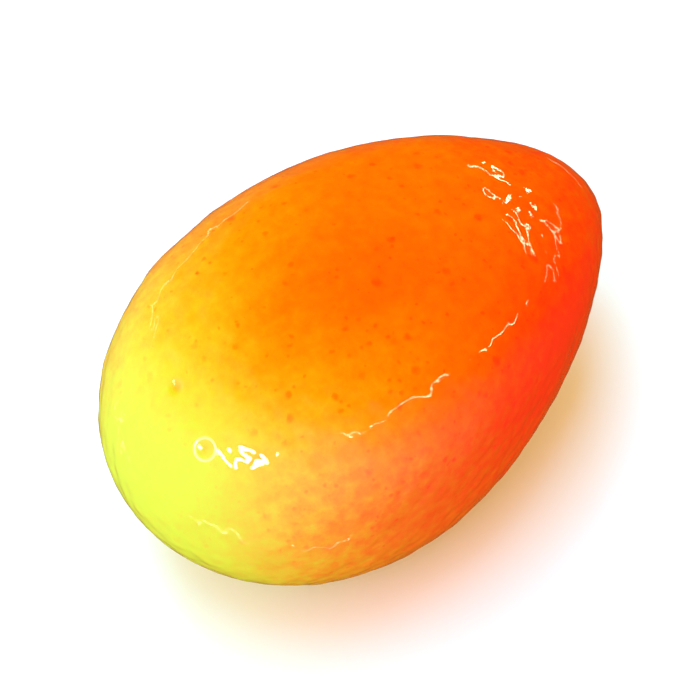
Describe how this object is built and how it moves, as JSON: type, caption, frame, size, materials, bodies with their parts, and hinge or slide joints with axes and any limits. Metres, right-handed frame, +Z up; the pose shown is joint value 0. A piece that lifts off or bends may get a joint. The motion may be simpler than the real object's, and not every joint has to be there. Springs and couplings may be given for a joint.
{
  "type": "mango",
  "caption": "Whole ripe mango, picked, lying on a small flat spot on its flatter cheek. Broad stem shoulder with a scar, narrow blushed end.",
  "frame": {"origin": "bottom centre of the box round the fruit, on the surface that it rests on", "axes": "+X along the fruit to its narrow end, +Y across its width, +Z up through its thickness"},
  "size_m": [0.12, 0.0774, 0.0628],
  "materials": {
    "skin": "Mango skin with a glossy, slightly rippled surface: yellow-green on the broad shoulder, orange on the upper cheek and red at the narrow end, with small darker spots."
  },
  "bodies": {
    "root": {"mango": "skin"}
  },
  "joints": []
}
